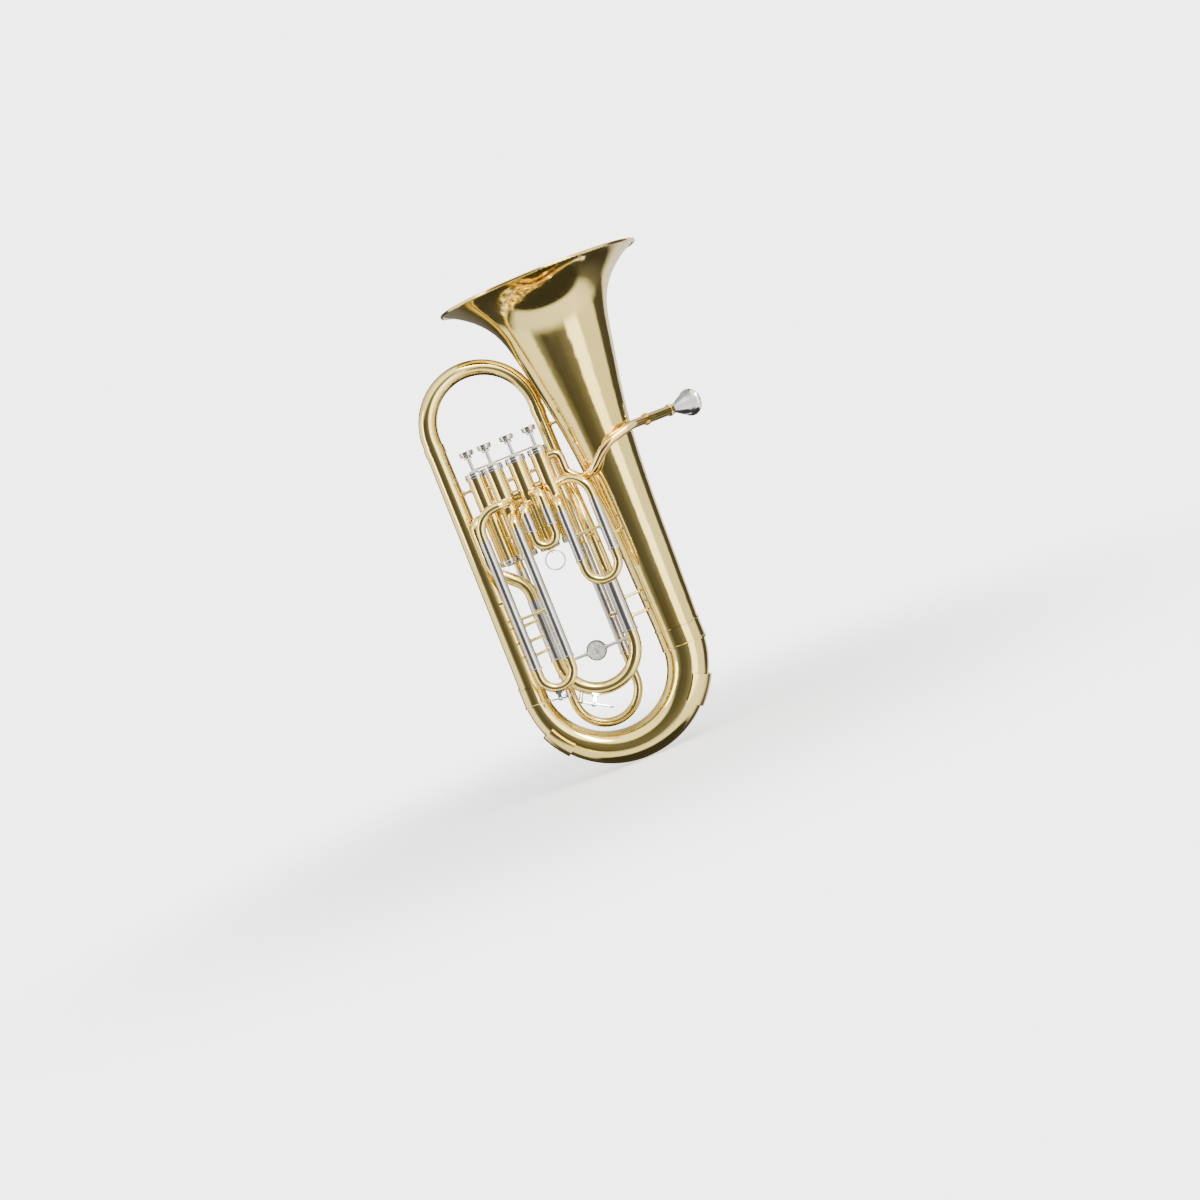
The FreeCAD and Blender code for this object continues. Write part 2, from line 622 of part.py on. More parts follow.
def make_valve_springs():
    floor = value("casing_bottom")
    wire = value("coil_wire")
    height = value("piston_bottom") - floor - 2 * wire - 0.2
    radius = value("coil_radius")
    helix = Part.makeHelix(height / value("coil_turns"), height, radius)
    section = Part.Wire([Part.Circle(V(radius, 0, 0), V(0, 1, 0), wire).toShape()])
    shell = Part.BRepOffsetAPI.MakePipeShell(Part.Wire(helix.Edges))
    shell.setFrenetMode(True)
    shell.add(section)
    shell.build()
    shell.makeSolid()
    coil = shell.shape()
    for number, (name, x, y) in enumerate(VALVES, start=1):
        piece("valve_spring_%d" % number, coil.copy(),
              V(value(x), value(y), floor + wire + 0.1))


# ---------------------------------------------------------------- valve slides

EYE_DROP = "(second_slide_half + %s + eye_radius - eye_wire * 0.5)" % SLIDE_RADIUS


def make_valve_slides():
    for number, name in enumerate(("first", "second", "third", "fourth"), start=1):
        leg = "(%s - leg_margin - 1 - %s_slide_arc)" % (SLEEVE_TOP[name], name)
        body = slide_bow("slide_%d" % number, name + "_slide_half", leg, SLIDE_RADIUS, "tube_wall",
                         (SLIDE_X[name], SLIDE_Y[name], name + "_slide_arc"))
        if name == "second":
            add_ring_eye(body)


def add_ring_eye(body):
    """A small upright eye under the bow, which the pull ring hangs in."""
    eye = body.newObject("PartDesign::AdditiveTorus", "slide_2_eye")
    eye.AttachmentSupport = (origin_plane(body, "YZ_Plane"), [""])
    eye.MapMode = "FlatFace"
    eye.setExpression("AttachmentOffset.Base.y", bound("0 - " + EYE_DROP))
    eye.setExpression("Radius1", bound("eye_radius"))
    eye.setExpression("Radius2", bound("eye_wire"))


def make_pull_ring():
    """The ring hangs with its top wire through the middle of the eye."""
    ring = doc.addObject("Part::Torus", "pull_ring")
    ring.setExpression("Radius1", bound("ring_radius"))
    ring.setExpression("Radius2", bound("ring_wire"))
    place(ring, (SLIDE_X["second"], "slide_y",
                 "second_slide_arc - %s - ring_radius" % EYE_DROP),
          FreeCAD.Rotation(V(1, 0, 0), 90))
    parts.append(ring)


def sleeve_outline(bore, outer, length):
    ring = "(%s + mouth_ring_wall)" % outer
    return [(bore, "0"), (ring, "0"), (ring, "mouth_ring_height - 0.5"),
            (ring + " - 0.5", "mouth_ring_height"), (outer, "mouth_ring_height"),
            (outer, length), (bore, length)]


def make_sleeves():
    for number, name in enumerate(("first", "second", "third", "fourth"), start=1):
        outline = sleeve_outline("tube_bore / 2", SLEEVE_RADIUS,
                                 "(%s - %s_mouth)" % (SLEEVE_TOP[name], name))
        places = [(leg_x(name, side), SLIDE_Y[name], name + "_mouth") for side in (-1, 1)]
        turned_group("slide_%d_sleeves" % number, outline, places)
    outline = sleeve_outline("main_bore / 2", MAIN_SLEEVE_RADIUS, "tuning_sleeve_top - tuning_mouth")
    turned_group("tuning_sleeves", outline,
                 [(SLIDE_TUNING_LEFT, "main_y", "tuning_mouth"),
                  (SLIDE_TUNING_RIGHT, "main_y", "tuning_mouth")])


def valve_tube(name, points, radii):
    tube = even_tube(bent_path(points, radii), value(TUBE_RADIUS), value("tube_wall"))
    return fit_to_casing(tube, name)


def casing_start(name, azimuth, height):
    """A tube's start inside its casing's wall; fit_to_casing then trims it to the outside."""
    x, y = [(x, y) for key, x, y in VALVES if key == name][0]
    reach = math.sqrt(value(CASING_RADIUS) ** 2 - value(TUBE_RADIUS) ** 2) - 0.5
    direction = V(math.cos(math.radians(azimuth)), math.sin(math.radians(azimuth)), 0)
    return point(x, y, height) + direction * reach


def fit_to_casing(tube, name):
    x, y = [(x, y) for key, x, y in VALVES if key == name][0]
    wall = rod(point(x, y, "casing_bottom"), point(x, y, "casing_top"),
               value(CASING_RADIUS) - value("solder_sink"))
    return tube.cut(wall)


def elbow(name, side, height, bend):
    """A bend from the casing's nearest side to the top of a sleeve, in one upright plane."""
    leg = point(leg_x(name, side), SLIDE_Y[name], height)
    x, y = [(x, y) for key, x, y in VALVES if key == name][0]
    axis = point(x, y, height)
    azimuth = math.degrees(math.atan2(leg.y - axis.y, leg.x - axis.x))
    foot = V(leg.x, leg.y, value(SLEEVE_TOP[name]) - value("leg_margin"))
    return valve_tube(name, [casing_start(name, azimuth, height), leg, foot], [bend])


def make_valve_tubing():
    short = value("short_bend")
    far = value("long_bend")
    piece("slide_1_tubing", Part.makeCompound([
        elbow("first", -1, "lower_port", short),
        elbow("first", 1, "upper_port", far)]))
    piece("slide_2_tubing", Part.makeCompound([
        elbow("second", -1, "second_left_port", short),
        elbow("second", 1, "second_right_port", short)]))
    corner = point(VALVE_X["third"], "slide_y", "upper_port")
    far_leg = point(leg_x("third", -1), "slide_y", "upper_port")
    foot = point(leg_x("third", -1), "slide_y", "sleeve_top - leg_margin")
    piece("slide_3_tubing", Part.makeCompound([
        elbow("third", 1, "lower_port", short),
        valve_tube("third", [casing_start("third", -90, "upper_port"), corner, far_leg, foot],
                   [short, far])]))
    right = leg_x("fourth", 1)
    low = point(right, "back_slide_y", "fourth_sleeve_top - leg_margin")
    high = point(right, "back_slide_y", "fourth_upper_port")
    turn = point("fourth_valve_x + back_turn_reach", "back_slide_y", "fourth_upper_port")
    depth = value("back_slide_y - fourth_valve_y")
    entry_angle = math.degrees(math.atan2(depth, value("back_turn_reach")))
    entry = casing_start("fourth", entry_angle, "fourth_upper_port")
    bend = value("back_bend")
    piece("slide_4_tubing", Part.makeCompound([
        elbow("fourth", -1, "fourth_lower_port", bend),
        valve_tube("fourth", [low, high, turn, entry], [bend, value("back_turn_bend")])]))


def make_outlet_pipe():
    """From the fourth casing's left side, round a bend and behind the third slide, to the
    tuning slide's left sleeve."""
    start = casing_start("fourth", value("outlet_azimuth"), "outlet_port")
    path = bent_path([
        start,
        point("outlet_x", "outlet_y", "outlet_port"),
        point("outlet_x", "outlet_y", "outlet_turn_height"),
        point(SLIDE_TUNING_LEFT, "main_y", "outlet_low_height"),
        point(SLIDE_TUNING_LEFT, "main_y", "tuning_sleeve_top - leg_margin"),
    ], [value("outlet_%s_bend" % turn) for turn in ("first", "turn", "foot")])
    tube = tapered_tube(path, value(TUBE_RADIUS), value(MAIN_TUBE_RADIUS), value("tube_wall"))
    piece("outlet_pipe", fit_to_casing(tube, "fourth"))


# ---------------------------------------------------------------- main tuning slide

def make_tuning_slide():
    leg = "(tuning_sleeve_top - leg_margin - 1 - tuning_arc)"
    slide_bow("tuning_slide", "tuning_half", leg, MAIN_SLIDE_RADIUS, "tube_wall",
              ("tuning_x", "main_y", "tuning_arc"))


# ---------------------------------------------------------------- leadpipe and mouthpiece

RECEIVER_TURN = FreeCAD.Rotation(UP, value("receiver_yaw")) * FreeCAD.Rotation(V(0, 1, 0), 90)


def make_leadpipe():
    """From the receiver round the front of the bell, down, then up and into the first casing."""
    mouth = point("receiver_x", "receiver_y", "receiver_height")
    along = RECEIVER_TURN.multVec(UP)
    path = bent_path([
        mouth + along * value("lead_seat"),
        mouth - along * value("lead_run"),
        point("bow_radius", "0 - throat_radius - lead_front_gap",
              "receiver_height - lead_front_drop"),
        point("bow_radius - lead_side_shift", "0 - neck_radius - lead_side_gap",
              "upper_port - lead_side_drop"),
        point("bow_radius - lead_foot_shift", "valve_y - lead_foot_gap",
              "upper_port - lead_foot_drop"),
        point("lead_riser_x", "valve_y", "upper_port + lead_riser_lift"),
        point("lead_riser_x", "valve_y", "leadpipe_port"),
        casing_start("first", 0, "leadpipe_port"),
    ], [value("lead_%s_bend" % turn) for turn in ("run", "front", "side", "foot", "riser", "top")])
    tube = even_tube(path, value("lead_radius"), value("lead_wall"))
    piece("leadpipe", fit_to_casing(tube, "first"))


def make_receiver():
    """A sleeve with a ring at each end: the leadpipe seats in one end, the shank in the other."""
    seat = "(lead_radius - solder_sink)"
    ring = "(receiver_radius + 1.6)"
    length = "receiver_length"
    outline = [(seat, "0"), (ring, "0"), (ring, "3"), ("receiver_radius", "4.2"),
               ("receiver_radius", length + " - 4.2"), (ring, length + " - 3"), (ring, length),
               ("shank_mouth_radius + running_gap", length),
               ("shank_tip_radius + running_gap", length + " - shank_length"),
               ("shank_tip_radius - 0.4", length + " - shank_length - 1"),
               ("shank_tip_radius - 0.4", "lead_seat"), (seat, "lead_seat")]
    turned("mouthpiece_receiver", outline, ("receiver_x", "receiver_y", "receiver_height"),
           RECEIVER_TURN)


def make_mouthpiece():
    """A tapered shank that opens into a deep cup with a rounded rim."""
    shank = value("shank_length")
    length = value("mouthpiece_length")
    rim = value("mouth_rim_radius")
    cup = value("cup_radius")
    floor = length - value("cup_depth")
    tip = V(value("shank_tip_radius"), 0, 0)
    mouth = V(value("shank_mouth_radius"), 0, shank)
    outside = Part.BSplineCurve()
    outside.interpolate([mouth, V(6.3, 0, shank + 8), V(8, 0, shank + 16), V(10.6, 0, shank + 24),
                         V(cup + 0.6, 0, length - 19), V(cup + 2, 0, length - 11),
                         V(cup + 3.4, 0, length - 7), V(rim, 0, length - 4)])
    inside = Part.BSplineCurve()
    inside.interpolate([V(cup, 0, length - 2.5), V(cup - 1.2, 0, length - 11),
                        V(cup - 4.6, 0, length - 21), V(4.6, 0, floor + 1.5),
                        V(value("throat_bore_radius"), 0, floor - 3)])
    throat = V(value("throat_bore_radius"), 0, floor - 3)
    rim_top = V((rim + cup) / 2, 0, length)
    edges = [
        Part.LineSegment(tip, mouth).toShape(),
        outside.toShape(),
        Part.Arc(V(rim, 0, length - 4), rim_top, V(cup, 0, length - 2.5)).toShape(),
        inside.toShape(),
        Part.LineSegment(throat, V(value("bore_radius"), 0, 0)).toShape(),
        Part.LineSegment(V(value("bore_radius"), 0, 0), tip).toShape(),
    ]
    shape = Part.Face(Part.Wire(edges)).revolve(V(), UP, 360)
    along = RECEIVER_TURN.multVec(UP)
    start = point("receiver_x", "receiver_y", "receiver_height")
    piece("mouthpiece", shape, start + along * value("receiver_length - shank_length"),
          RECEIVER_TURN)


# ---------------------------------------------------------------- stays

def bell_radius_at(height):
    """The bell's outer radius at a height, found by halving the curve's parameter range."""
    curve = bell_curve(0)
    depth = value("rim_height - bead_height / 2") - height
    low, high = curve.FirstParameter, curve.LastParameter
    for _ in range(40):
        middle = (low + high) / 2
        if -curve.value(middle).z < depth:
            low = middle
        else:
            high = middle
    return curve.value(low).x


def upright(x, y, radius):
    return value(x), value(y), value(radius)


def stay(first, second, height):
    """A rod with a flange at each end, between two upright tubes given as (x, y, radius)."""
    start = V(first[0], first[1], value(height))
    end = V(second[0], second[1], value(height))
    direction = (end - start).normalize()
    sink = value("solder_sink")
    shape = rod(start + direction * (first[2] - sink), end - direction * (second[2] - sink),
                value("stay_radius"))
    flange = value("flange_radius")
    for axis, radius, way in ((start, first[2], direction), (end, second[2], -direction)):
        seat = radius - math.sqrt(max(radius ** 2 - flange ** 2, 0))
        base = axis + way * (radius - seat)
        disc = rod(base, base + way * (seat + value("flange_depth")), flange)
        tube = Part.makeCylinder(radius - sink, 4 * flange, axis - UP * 2 * flange)
        shape = shape.fuse(disc.cut(tube))
    return shape.removeSplitter()


def make_stays():
    def bell_at(name):
        return (value("bow_radius"), 0, bell_radius_at(value(name)))

    tuning_right = upright(SLIDE_TUNING_RIGHT, "main_y", MAIN_SLEEVE_RADIUS)
    tuning_left = upright(SLIDE_TUNING_LEFT, "main_y", MAIN_SLEEVE_RADIUS)
    first_left = upright(leg_x("first", -1), "slide_y", SLEEVE_RADIUS)
    first_right = upright(leg_x("first", 1), "slide_y", SLEEVE_RADIUS)
    third_left = upright(leg_x("third", -1), "slide_y", SLEEVE_RADIUS)
    third_right = upright(leg_x("third", 1), "slide_y", SLEEVE_RADIUS)
    fourth_left = upright(leg_x("fourth", -1), "back_slide_y", SLEEVE_RADIUS)
    fourth_right = upright(leg_x("fourth", 1), "back_slide_y", SLEEVE_RADIUS)
    outer_branch = upright("0 - bow_radius", "0", "branch_upper_radius + branch_swell")
    fourth_casing = upright("fourth_valve_x", "fourth_valve_y", CASING_RADIUS)
    loop_leg = upright("inner_branch_x", "inner_branch_y", "inner_branch_radius")
    stays = [
        stay(tuning_right, bell_at("bell_upper_stay"), "bell_upper_stay"),
        stay(tuning_right, bell_at("bell_lower_stay"), "bell_lower_stay"),
        stay(first_right, bell_at("bell_first_stay"), "bell_first_stay"),
        stay(first_left, first_right, "first_brace"),
        stay(third_left, third_right, "third_brace"),
        stay(third_left, tuning_left, "third_upper_stay"),
        stay(third_left, tuning_left, "third_middle_stay"),
        stay(third_left, tuning_left, "third_lower_stay"),
        stay(tuning_left, fourth_left, "fourth_stay"),
        stay(tuning_right, fourth_right, "fourth_stay"),
        stay(third_left, outer_branch, "branch_stay"),
        stay(outer_branch, fourth_casing, "casing_stay"),
        stay(loop_leg, bell_at("loop_stay"), "loop_stay"),
    ]
    piece("stays", Part.makeCompound(stays))


def make_tuning_stay():
    """The stay between the tuning slide's legs, with a round plate in its middle."""
    centre = point("tuning_x", "main_y", "emblem_height")
    legs = [upright(x, "main_y", MAIN_SLIDE_RADIUS) for x in (SLIDE_TUNING_LEFT, SLIDE_TUNING_RIGHT)]
    shape = stay(legs[0], legs[1], "emblem_height")
    plate = value("emblem_radius")
    depth = value("emblem_depth")
    forward = V(0, -1, 0)
    across = V(1, 0, 0)
    collar = plate + 2.5
    shape = shape.fuse(rod(centre - across * collar, centre + across * collar,
                           value("flange_radius") - 0.6))
    shape = shape.fuse(rod(centre - forward * depth / 2, centre + forward * depth / 2, plate))
    face = centre + forward * (depth / 2 - value("emblem_recess"))
    shape = shape.cut(rod(face, face + forward * depth, plate - value("emblem_rim")))
    piece("tuning_stay", shape.removeSplitter())


# ---------------------------------------------------------------- water keys

def make_water_key(name, tube_radius, base, turn):
    """A sprung lever on a saddle, over a spout. In its own frame +X runs along the tube to the
    touch, +Z points out of the tube, and the origin is on the tube's centreline."""
    sink = value("solder_sink")
    pivot = value("pivot_radius")
    knuckle = value("knuckle_radius")
    width = value("knuckle_width")
    gap = value("running_gap")
    label = name + "_water_key"
    pad_at = value(name + "_key_pad")
    pivot_at = value(name + "_key_pivot")
    touch_at = value(name + "_key_touch")
    axis_height = tube_radius + value(name + "_key_lift")
    ear_radius = value("key_ear_radius")
    foot_depth = value("key_foot_depth")
    pin_start = V(pivot_at, -width / 2 - value("lug_wall") - 0.3, axis_height)
    across = V(0, 1, 0)
    pin = rod(pin_start, pin_start + across * (width + 2 * value("lug_wall") + 0.6), pivot)
    ears = []
    for side in (-1, 1):
        near = side * (width / 2 + gap)
        far = side * (width / 2 + gap + value("lug_wall"))
        low, high = sorted((near, far))
        ear = Part.makeBox(2 * ear_radius, high - low, axis_height - tube_radius / 2,
                           V(pivot_at - ear_radius, low, tube_radius / 2))
        crown = rod(V(pivot_at, low, axis_height), V(pivot_at, high, axis_height), ear_radius)
        ears.append(ear.fuse(crown))
    foot = Part.makeBox(foot_depth, width + 2 * value("lug_wall") + 2 * gap,
                        tube_radius / 2 + value("lug_wall"),
                        V(pivot_at - foot_depth / 2, -width / 2 - value("lug_wall") - gap,
                          tube_radius / 2))
    saddle = foot.multiFuse(ears)
    tube = rod(V(-40, 0, 0), V(40, 0, 0), tube_radius - sink)
    saddle = saddle.cut(tube).fuse(pin).removeSplitter()
    spout_top = axis_height - value("key_arm_depth") / 2 - value("cork_depth") - 1.4
    spout = rod(V(pad_at, 0, tube_radius / 2), V(pad_at, 0, spout_top), value("nipple_radius"))
    spout = spout.cut(tube).cut(rod(V(pad_at, 0, 0), V(pad_at, 0, spout_top + 1),
                                    value("nipple_bore")))
    piece(label + "_saddle", Part.makeCompound([saddle, spout]), base, turn)

    arm_width = value("key_arm_width")
    arm_depth = value("key_arm_depth")
    arm = Part.makeBox(touch_at - pad_at, arm_width, arm_depth,
                       V(pad_at, -arm_width / 2, axis_height - arm_depth / 2))
    touch = Part.makeCylinder(arm_width * 0.75, arm_depth,
                              V(touch_at, 0, axis_height - arm_depth / 2))
    barrel = rod(V(pivot_at, -width / 2, axis_height), V(pivot_at, width / 2, axis_height), knuckle)
    cup_base = spout_top + value("cork_depth")
    cup = rod(V(pad_at, 0, cup_base), V(pad_at, 0, axis_height + arm_depth / 2),
              value("key_cup_radius"))
    cork = rod(V(pad_at, 0, spout_top + gap), V(pad_at, 0, cup_base), value("key_cup_radius") - 0.8)
    lever = arm.multiFuse([touch, barrel, cup, cork])
    hole = rod(V(pivot_at, -width, axis_height), V(pivot_at, width, axis_height), pivot + gap)
    piece(label, lever.cut(hole).removeSplitter(), base, turn)


def on_bow(centre_x, y, centre_z, radius, angle, tilt, way):
    """A place on a slide bow's centreline, at an angle left of straight down. way is the sense
    of +X along the bow: 1 turns it to the right, -1 to the left."""
    outward = V(-math.sin(math.radians(angle)), 0, -math.cos(math.radians(angle)))
    base = V(centre_x, y, centre_z) + outward * radius
    along = V(math.cos(math.radians(angle)), 0, -math.sin(math.radians(angle))) * way
    leaning = outward * math.cos(math.radians(tilt)) + V(0, -1, 0) * math.sin(math.radians(tilt))
    turn = FreeCAD.Rotation(along, leaning.cross(along), leaning, "ZXY")
    return base, turn


def make_water_keys():
    base, turn = on_bow(value("tuning_x"), value("main_y"), value("tuning_arc"),
                        value("tuning_half"), value("tuning_key_angle"),
                        value("tuning_key_lean"), 1)
    make_water_key("tuning", value(MAIN_SLIDE_RADIUS), base, turn)
    base, turn = on_bow(value(SLIDE_X["third"]), value("slide_y"), value("third_slide_arc"),
                        value("third_slide_half"), value("third_key_angle"), 0, -1)
    make_water_key("third", value(SLIDE_RADIUS), base, turn)


make_bell()
make_bell_bead()
make_bottom_bow()
make_bow_guard()
make_outer_branch()
make_top_bow()
make_inner_branch()
make_ferrules()
make_casings()
make_caps()
make_felts()
make_valve_links()
make_pistons()
make_stems()
make_buttons()
make_valve_springs()
make_valve_slides()
make_sleeves()
make_valve_tubing()
make_outlet_pipe()
make_tuning_slide()
make_pull_ring()
make_leadpipe()
make_receiver()
make_mouthpiece()
make_stays()
make_tuning_stay()
make_water_keys()

doc.recompute()
for thing in doc.Objects:
    if "Invalid" in thing.State or "Error" in thing.State:
        raise ValueError("%s failed: %s" % (thing.Label, thing.State))
for part in parts:
    if part.Shape.isNull() or not part.Shape.isValid():
        raise ValueError("%s has no valid shape" % part.Label)

os.makedirs("parts", exist_ok=True)
for part in parts:
    part.Shape.exportStep("parts/%s.step" % part.Label)
print("%d parts" % len(parts))
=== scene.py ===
import json
import math

import bmesh
import bpy
from mathutils import Matrix, Vector


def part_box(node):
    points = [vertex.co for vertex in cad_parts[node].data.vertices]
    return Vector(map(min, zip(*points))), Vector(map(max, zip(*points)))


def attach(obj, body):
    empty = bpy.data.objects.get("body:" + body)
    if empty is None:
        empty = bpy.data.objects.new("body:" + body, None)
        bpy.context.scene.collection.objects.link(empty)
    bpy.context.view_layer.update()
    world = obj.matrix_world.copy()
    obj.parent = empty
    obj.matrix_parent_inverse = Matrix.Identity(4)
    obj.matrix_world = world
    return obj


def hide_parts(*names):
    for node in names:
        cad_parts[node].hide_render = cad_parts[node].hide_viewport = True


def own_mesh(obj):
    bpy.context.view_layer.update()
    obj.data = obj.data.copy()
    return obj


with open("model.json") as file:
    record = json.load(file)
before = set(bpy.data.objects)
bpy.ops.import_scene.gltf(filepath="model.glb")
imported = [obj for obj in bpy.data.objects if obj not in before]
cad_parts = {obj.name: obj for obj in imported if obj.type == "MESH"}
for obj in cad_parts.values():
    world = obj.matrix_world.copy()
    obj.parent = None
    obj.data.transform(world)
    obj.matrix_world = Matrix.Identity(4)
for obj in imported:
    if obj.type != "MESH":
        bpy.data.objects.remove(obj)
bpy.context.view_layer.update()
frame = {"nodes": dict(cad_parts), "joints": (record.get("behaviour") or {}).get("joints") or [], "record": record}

MM = 0.001
UP = Vector((0, 0, 1))
nodes = frame["nodes"]
record = frame["record"]
SLOTS = {entry["node"]: entry["material_slot"] for entry in record["subparts"]}
BODY_OF = {node: body for body, members in record["behaviour"]["bodies"].items() for node in members}
JOINTS = {joint["name"]: joint for joint in frame["joints"]}


def middle_of(node):
    """The centre of a node's box."""
    low, high = (Vector(corner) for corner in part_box(node))
    return (low + high) / 2


# valves: the cap's size comes from the caps themselves
CAP_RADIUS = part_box("top_caps")[1][0] - middle_of("valve_casing_1").x
KNURL_TEETH = 72
KNURL_DEPTH = 0.28 * MM
BRACE_RADIUS = 1.25 * MM
BRACE_BEND = 4.5 * MM
BRACE_CLEARANCE = 2.6 * MM
BRACE_RISE = 2.4 * MM
BRACE_DROP = 20 * MM
SOLDER_SINK = 0.4 * MM
# round plate on the main slide's stay
PLATE_DEPTH = 4.0 * MM
PLATE_RECESS = 0.8 * MM
PLATE_FLOOR = 12.15 * MM
LYRE_WIRE = 0.5 * MM
# springs of the water keys
KEY_SPRING_TURNS = 2.25
KEY_SPRING_RADIUS = 2.85 * MM
KEY_SPRING_WIRE = 0.28 * MM
KEY_SPRING_PITCH = 0.31 * MM
KEY_ARM_HALF = 2.3 * MM
# camera: where it looks, how far off it is, how high it stands and how far it leans
FOCAL_LENGTH = 70.0
SENSOR_WIDTH = 36.0
CAMERA_TARGET = Vector((0.0235, 0.0, 0.222))
CAMERA_DISTANCE = 3.16
CAMERA_LIFT = math.radians(3.0)
CAMERA_LEAN = math.radians(22.0)
# studio: brightness along an angle in degrees, round the horn, low down, high up and by height
FLOOR_RADIUS = 1.1
FLOOR_GLOW = 1.2
BACKDROP = 4.6
BRIGHTEST = 4.0
DEEP_LEVEL = 0.05
ROUND_BANKS = [
    (-180, 0.25), (-140, 0.06), (-132, 0.12), (-126, 1.7), (-66, 1.9), (-58, 0.35), (-40, 0.1),
    (-12, 0.14), (14, 0.3), (20, 3.9), (46, 3.9), (52, 1.5), (96, 1.5), (103, 0.1), (136, 0.08),
    (143, 1.5), (165, 1.2)]
LOW_BANKS = [(-150, 0.06), (-104, 0.12), (-88, 1.5), (60, 1.9), (100, 1.5), (120, 0.2), (150, 0.06)]
HIGH_BANKS = [(-170, 0.5), (-100, 1.2), (-30, 2.2), (60, 2.6), (120, 1.0), (170, 0.5)]
HIGH_SHARE = [(24, 0.0), (33, 1.0)]
LOW_SHARE = [(-62, 0.0), (-56, 1.0), (-33, 1.0), (-24, 0.0)]
DEEP_SHARE = [(-62, 1.0), (-56, 0.0)]
LIGHTS_AIM = Vector((0.05, 0.0, 0.33))


# ------------------------------------------------------------------ finishes

def new_material(name, base, metallic, roughness):
    """A material and its shader, before its pattern is added."""
    material = bpy.data.materials.new(name)
    material.use_nodes = True
    shader = material.node_tree.nodes["Principled BSDF"]
    shader.inputs["Base Color"].default_value = (*base, 1)
    shader.inputs["Metallic"].default_value = metallic
    shader.inputs["Roughness"].default_value = roughness
    return material, shader


def object_noise(tree, scale, detail=4.0, stretch=(1, 1, 1)):
    """A noise in the piece's own metres, so that its grain has a real size."""
    place = tree.nodes.new("ShaderNodeTexCoord")
    mapping = tree.nodes.new("ShaderNodeMapping")
    mapping.inputs["Scale"].default_value = stretch
    noise = tree.nodes.new("ShaderNodeTexNoise")
    noise.inputs["Scale"].default_value = scale
    noise.inputs["Detail"].default_value = detail
    tree.links.new(place.outputs["Object"], mapping.inputs["Vector"])
    tree.links.new(mapping.outputs["Vector"], noise.inputs["Vector"])
    return noise


def ramp(tree, source, stops):
    """Turn a value into a colour, through stops of (value, colour)."""
    band = tree.nodes.new("ShaderNodeValToRGB")
    elements = band.color_ramp.elements
    while len(elements) < len(stops):
        elements.new(0.5)
    for element, (at, colour) in zip(elements, stops):
        element.position = at
        element.color = (*colour, 1)
    tree.links.new(source, band.inputs["Fac"])
    return band


def spread(tree, source, low, high):
    """Map a noise's middle range to a pair of values."""
    span = tree.nodes.new("ShaderNodeMapRange")
    span.inputs["From Min"].default_value = 0.3
    span.inputs["From Max"].default_value = 0.7
    span.inputs["To Min"].default_value = low
    span.inputs["To Max"].default_value = high
    tree.links.new(source, span.inputs["Value"])
    return span.outputs["Result"]


def bump(tree, shader, layers):
    """Stack bumps: each layer is a height source, its distance in metres and its strength."""
    previous = None
    for height, distance, strength in layers:
        node = tree.nodes.new("ShaderNodeBump")
        node.inputs["Distance"].default_value = distance
        node.inputs["Strength"].default_value = strength
        tree.links.new(height, node.inputs["Height"])
        if previous:
            tree.links.new(previous.outputs["Normal"], node.inputs["Normal"])
        previous = node
    tree.links.new(previous.outputs["Normal"], shader.inputs["Normal"])


def lacquered_brass(name, bright, deep, roughness=(0.055, 0.13)):
    """Polished brass under clear lacquer, with slow tone changes, buffing waves and fine wear."""
    material, shader = new_material(name, bright, 1.0, 0.08)
    tree = material.node_tree
    tone = object_noise(tree, 9.0, 3.0)
    colour = ramp(tree, tone.outputs["Fac"], [(0.32, deep), (0.62, bright)])
    tree.links.new(colour.outputs["Color"], shader.inputs["Base Color"])
    haze = object_noise(tree, 70.0, 6.0)
    tree.links.new(spread(tree, haze.outputs["Fac"], *roughness), shader.inputs["Roughness"])
    waves = object_noise(tree, 26.0, 1.0)
    grain = object_noise(tree, 2600.0, 2.0)
    bump(tree, shader, [(waves.outputs["Fac"], 0.0006, 0.09), (grain.outputs["Fac"], 0.00001, 0.15)])
    shader.inputs["Coat Weight"].default_value = 0.2
    shader.inputs["Coat Roughness"].default_value = 0.04
    shader.inputs["Coat IOR"].default_value = 1.5
    return material


def plated_metal(name, bright, deep, roughness, wave=0.06):
    """Nickel silver or silver plate: cooler, a little drawn along the tube."""
    material, shader = new_material(name, bright, 1.0, roughness[0])
    tree = material.node_tree
    tone = object_noise(tree, 22.0, 3.0)
    colour = ramp(tree, tone.outputs["Fac"], [(0.35, deep), (0.6, bright)])
    tree.links.new(colour.outputs["Color"], shader.inputs["Base Color"])
    haze = object_noise(tree, 240.0, 4.0, (1, 1, 0.12))
    tree.links.new(spread(tree, haze.outputs["Fac"], *roughness), shader.inputs["Roughness"])
    waves = object_noise(tree, 40.0, 1.0)
    scratches = object_noise(tree, 1800.0, 3.0, (1, 1, 0.05))
    bump(tree, shader, [(waves.outputs["Fac"], 0.0004, wave),
                        (scratches.outputs["Fac"], 0.00001, 0.25)])
    return material


def pressed_felt(name, colour, shade):
    """Matted wool with a soft nap."""
    material, shader = new_material(name, colour, 0.0, 0.95)
    tree = material.node_tree
    fibre = object_noise(tree, 1500.0, 8.0)
    mottled = ramp(tree, fibre.outputs["Fac"], [(0.3, shade), (0.7, colour)])
    tree.links.new(mottled.outputs["Color"], shader.inputs["Base Color"])
    bump(tree, shader, [(fibre.outputs["Fac"], 0.0003, 0.8)])
    shader.inputs["Sheen Weight"].default_value = 0.5
    return material


